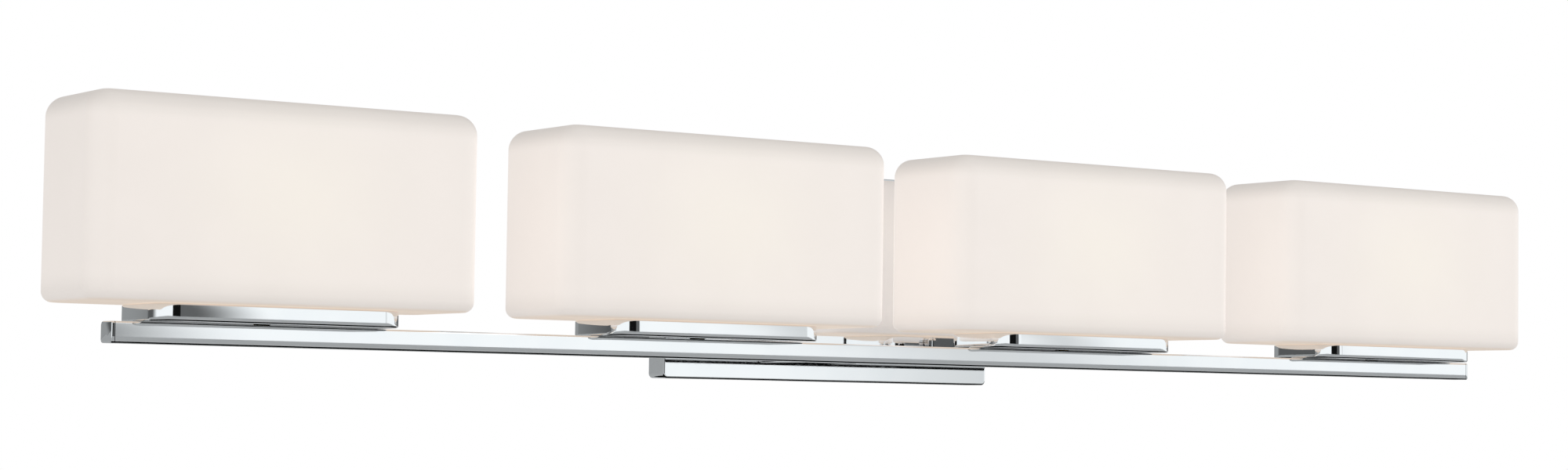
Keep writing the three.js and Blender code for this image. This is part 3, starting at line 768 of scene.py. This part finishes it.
def make_screws():
    for side, sign in (("left", -1), ("right", 1)):
        node = f"canopy_screw_{side}"
        low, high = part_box(node)
        face = sign * (canopy_high.x + SEAT)
        screw = machine_screw_mesh(f"canopy_side_screw_{side}", 7.2 * MM)
        screw.transform(Matrix.Rotation(math.radians(90 * sign), 4, "Y"))
        finished(f"canopy_side_screw_{side}", screw, "chrome", node,
                 (face, (low.y + high.y) / 2, (low.z + high.z) / 2), 30.0, (node,))
    low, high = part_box("ground_screw")
    screw = machine_screw_mesh("earth_screw", high.y - low.y - 2.6 * MM)
    screw.transform(Matrix.Rotation(math.radians(90), 4, "X"))
    finished("earth_screw", screw, "green_screw", ROOT,
             ((low.x + high.x) / 2, low.y + 2.6 * MM, (low.z + high.z) / 2), 30.0, ("ground_screw",))


# ------------------------------------------------------------------ wiring

def connector_mesh(name, height):
    """A twist-on wire connector: a fluted cone, open below, with two small wings at its mouth."""
    rings = []
    for radius, z, lobes in ((2.5, 8, 0), (2.5, 0.4, 0), (2.9, 0, 0), (5.1, 0, 0), (5.5, 0.4, 0), (5.5, 4, 0),
                             (5.2, 4.6, 18), (4.2, 14, 18), (3.5, height / MM - 1.2, 18),
                             (2.9, height / MM - 0.3, 0), (2.2, height / MM, 0)):
        rings.append(round_ring(radius * MM, z * MM, 108, lobes, 0.45 * MM if lobes else 0))
    body = loft(name, rings)
    wings = []
    for side in (-1, 1):
        wing = [(side * x * MM, y * MM) for x, y in ((3.5, -1.2), (3.5, 1.2))]
        low = (min(wing[0][0], side * 5.5 * MM), -0.8 * MM, 0.6 * MM)
        high = (max(wing[0][0], side * 5.5 * MM), 0.8 * MM, 12 * MM)
        wings.append(cuboid(name + "_wing", low, high))
    return merged(name, body, *wings)


def conductor_tail(side, lead_low, lead_high):
    """The route of one lead from the bar, through the arm and up to its connector."""
    bar_y = (bar_low.y + bar_high.y) / 2
    bar_z = (bar_low.z + bar_high.z) / 2
    offset = side * 1.3 * MM
    y, z = bar_y + offset, bar_z + offset
    exit_x = side * 6 * MM
    flange_back = canopy_low.y + 3.5 * MM
    connector_y = canopy_low.y / 2 - 0.4 * MM
    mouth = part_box("wire_connector_live")[0].z
    x = side * 34 * MM
    return [
        (exit_x, y, z), (exit_x, (bar_high.y + canopy_low.y) / 2, z), (exit_x, canopy_low.y, z),
        (exit_x, flange_back + 1 * MM, z), (exit_x * 1.4, connector_y, z + 9 * MM),
        (x * 0.6, connector_y, 0), (x, connector_y, mouth - 4 * MM), (x, connector_y, mouth + 7.5 * MM),
    ]


def make_wiring():
    radius = 0.9 * MM
    for side, kind, slot in ((-1, "live", "insulation_black"), (1, "neutral", "insulation_white")):
        node = f"lead_{kind}"
        low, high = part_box(node)
        tail = tube(node, conductor_tail(side, low, high), radius)
        offset = side * 1.3 * MM
        y = (bar_low.y + bar_high.y) / 2 + offset
        z = (bar_low.z + bar_high.z) / 2 + offset
        run = [tube(node, [(low.x, y, z), (high.x, y, z)], radius, 1)]
        for number in LIGHTS:
            x = light_at(number).x
            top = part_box(f"nipple_{number}")[1].z - 1 * MM
            run.append(tube(node, [(x, y, z), (x, y, top)], radius, 1))
        finished(f"{kind}_lead", merged(node, tail, *run), slot, ROOT, sharp=50.0, replaces=(node,))
    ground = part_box("lead_ground")
    screw_x = (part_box("ground_screw")[0].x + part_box("ground_screw")[1].x) / 2
    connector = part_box("wire_connector_ground")
    x = (connector[0].x + connector[1].x) / 2
    y = (connector[0].y + connector[1].y) / 2
    start_y = ground[0].y + radius
    route = [(screw_x - 2.6 * MM, start_y, -1.6 * MM), (screw_x, start_y, -3.1 * MM),
             (screw_x + 2.9 * MM, start_y, -0.6 * MM), (screw_x + 3.6 * MM, start_y, 4 * MM),
             (x - 1 * MM, y, connector[0].z - 5 * MM), (x, y, connector[0].z + 7.5 * MM)]
    finished("ground_lead", tube("ground_lead", route, radius), "insulation_green", ROOT, sharp=50.0,
             replaces=("lead_ground",))
    for kind in ("live", "neutral", "ground"):
        node = f"wire_connector_{kind}"
        low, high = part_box(node)
        mesh = connector_mesh(f"twist_connector_{kind}", high.z - low.z)
        finished(f"twist_connector_{kind}", mesh, "connector_plastic", ROOT,
                 ((low.x + high.x) / 2, (low.y + high.y) / 2, low.z), 30.0, (node,))


# ------------------------------------------------------------------ studio

def make_floor():
    """A pale floor well below the lamp, paler to the camera than its light alone makes it."""
    half = 9.0
    height = -0.42
    mesh = bpy.data.meshes.new("floor")
    corners = [(-half, -half, height), (half, -half, height), (half, half, height), (-half, half, height)]
    mesh.from_pydata(corners, [], [(0, 1, 2, 3)])
    floor = bpy.data.objects.new("floor", mesh)
    bpy.context.scene.collection.objects.link(floor)
    n = Nodes("pale_floor")
    soft = n.noise(3.0, 3.0)
    paint = n.mix(n.spread(soft, 0.0, 1.0), (0.80, 0.80, 0.80), (0.83, 0.83, 0.83))
    n.link(paint, n.shader.inputs["Base Color"])
    n.fixed(Roughness=0.8, Emission_Color=(0.97, 0.98, 1.0, 1.0))
    glow = n.math("MULTIPLY", n.add("ShaderNodeLightPath").outputs["Is Camera Ray"], FLOOR_LIFT)
    n.link(glow, n.shader.inputs["Emission Strength"])
    mesh.materials.append(n.material)


# The strength of the light added to the floor for the camera alone.
FLOOR_LIFT = 0.5


def make_flag():
    """A black card under the lamp, seen only in the chrome."""
    height = -0.30
    mesh = bpy.data.meshes.new("black_card")
    mesh.from_pydata([(-0.8, -0.5, height), (0.9, -0.5, height), (0.9, 0.35, height), (-0.8, 0.35, height)],
                     [], [(0, 1, 2, 3)])
    card = bpy.data.objects.new("black_card", mesh)
    bpy.context.scene.collection.objects.link(card)
    n = Nodes("black_card")
    cloth = n.noise(400.0, 3.0)
    n.link(n.mix(n.spread(cloth, 0.0, 1.0), (0.004, 0.004, 0.004), (0.008, 0.008, 0.008)),
           n.shader.inputs["Base Color"])
    n.fixed(Roughness=0.95, Specular_IOR_Level=0.0)
    mesh.materials.append(n.material)
    card.visible_camera = False
    card.visible_diffuse = False
    card.visible_shadow = False
    card.visible_transmission = False


def make_world():
    """A white studio. What the chrome sees is bright in front and above, dark behind, with one
    dark upright panel in front."""
    world = bpy.data.worlds.new("studio")
    bpy.context.scene.world = world
    world.use_nodes = True
    tree = world.node_tree
    tree.nodes.clear()
    place = tree.nodes.new("ShaderNodeTexCoord").outputs["Generated"]
    split = tree.nodes.new("ShaderNodeSeparateXYZ")
    tree.links.new(place, split.inputs[0])

    def ramp(value, start, end, low, high):
        node = tree.nodes.new("ShaderNodeMapRange")
        node.interpolation_type = "SMOOTHSTEP"
        for key, number in (("From Min", start), ("From Max", end), ("To Min", low), ("To Max", high)):
            node.inputs[key].default_value = number
        tree.links.new(value, node.inputs["Value"])
        return node.outputs["Result"]

    def combine(operation, first, second):
        node = tree.nodes.new("ShaderNodeMath")
        node.operation = operation
        for socket, value in zip(node.inputs, (first, second)):
            if isinstance(value, (int, float)):
                socket.default_value = value
            else:
                tree.links.new(value, socket)
        return node.outputs[0]

    x, y, z = split.outputs
    front = combine("MAXIMUM", combine("MULTIPLY", y, -1.0), 0.05)
    turn = combine("DIVIDE", x, front)
    dip = combine("DIVIDE", combine("SUBTRACT", turn, GAP_TURN), GAP_WIDTH)
    dip = combine("EXPONENT", combine("MULTIPLY", combine("MULTIPLY", dip, dip), -1.0), 0.0)
    white = combine("SUBTRACT", 1.0, combine("MULTIPLY", dip, GAP_DEPTH))
    side = ramp(turn, DARK_EDGE, LEFT_EDGE, SIDE_LIGHT, 1.0)
    left = ramp(turn, PANEL[0] - 0.02, PANEL[0], 1.0, 0.0)
    flank = combine("ADD", left, combine("MULTIPLY", combine("SUBTRACT", 1.0, left), side))
    panel = combine("MULTIPLY", ramp(turn, PANEL[0], PANEL[0] + 0.04, 0.0, 1.0),
                    ramp(turn, PANEL[1] - 0.04, PANEL[1], 1.0, 0.0))
    shown = combine("MULTIPLY", flank, combine("SUBTRACT", 1.0, combine("MULTIPLY", panel, 0.95)))
    level = combine("MULTIPLY", ramp(y, -0.35, -0.25, 1.0, 0.0), ramp(z, 0.3, 0.5, 1.0, 0.0))
    shown = combine("ADD", combine("MULTIPLY", shown, level), combine("SUBTRACT", 1.0, level))
    ahead = combine("MULTIPLY", white, shown)
    wall = ramp(combine("DIVIDE", combine("ABSOLUTE", x, 0.0), combine("MAXIMUM", y, 0.05)),
                0.35, 0.75, WALL_LIGHT[1], WALL_LIGHT[0])
    behind = ramp(y, 0.0, 0.5, 0.0, 1.0)
    around = combine("ADD", combine("MULTIPLY", ahead, combine("SUBTRACT", 1.0, behind)),
                     combine("MULTIPLY", wall, behind))
    lit = combine("MULTIPLY", around, ramp(z, 0.15, 0.75, 1.0, TOP_LIGHT))
    paths = tree.nodes.new("ShaderNodeLightPath")
    seen = tree.nodes.new("ShaderNodeBackground")
    seen.inputs["Color"].default_value = (1, 1, 1, 1)
    seen.inputs["Strength"].default_value = 1.0
    felt = tree.nodes.new("ShaderNodeBackground")
    felt.inputs["Color"].default_value = (0.945, 0.985, 1.0, 1)
    tree.links.new(lit, felt.inputs["Strength"])
    choose = tree.nodes.new("ShaderNodeMixShader")
    tree.links.new(paths.outputs["Is Camera Ray"], choose.inputs[0])
    tree.links.new(felt.outputs[0], choose.inputs[1])
    tree.links.new(seen.outputs[0], choose.inputs[2])
    out = tree.nodes.new("ShaderNodeOutputWorld")
    tree.links.new(choose.outputs[0], out.inputs["Surface"])


# The studio round the lamp: turn is sideways over forwards, seen from the lamp.
PANEL = (-0.46, 0.15)
DARK_EDGE = 0.385
LEFT_EDGE = 0.468
SIDE_LIGHT = 0.12
GAP_TURN = 0.805
GAP_WIDTH = 0.075
GAP_DEPTH = 0.28
WALL_LIGHT = (0.10, 0.30)
TOP_LIGHT = 0.55


def make_light(name, at, target, size, power):
    data = bpy.data.lights.new(name, "AREA")
    data.shape = "RECTANGLE"
    data.size, data.size_y = size
    data.energy = power
    lamp = bpy.data.objects.new(name, data)
    lamp.location = at
    lamp.rotation_euler = (Vector(target) - Vector(at)).to_track_quat("-Z", "Y").to_euler()
    bpy.context.scene.collection.objects.link(lamp)


def make_camera():
    """The view from the left and slightly below, level with the lamp."""
    data = bpy.data.cameras.new("camera")
    data.sensor_width = 36.0
    data.lens = 70.46
    data.shift_x = -0.0062
    data.shift_y = 0.0168
    data.clip_start = 0.05
    camera = bpy.data.objects.new("camera", data)
    right = Vector((0.818721, -0.574021, 0.014018))
    ahead = Vector((0.572721, 0.818127, 0.051569))
    up = Vector((-0.04107, -0.034192, 0.998571))
    turn = Matrix((right, up, -ahead)).transposed().to_4x4()
    camera.matrix_world = Matrix.Translation((-0.98713, -1.38839, -0.07818)) @ turn
    bpy.context.scene.collection.objects.link(camera)
    bpy.context.scene.camera = camera


make_camera()
make_world()
make_floor()
make_flag()
make_light("front_softbox", (0.6, -2.2, 1.2), (0, 0, 0), (1.8, 1.2), 5.0)
make_light("top_softbox", (0.0, -0.4, 2.0), (0, 0, 0), (1.6, 1.0), 3.0)
make_shades()
make_holders()
make_lamps()
make_bar()
make_canopy()
make_screws()
make_wiring()
bpy.context.scene.view_settings.view_transform = "Standard"
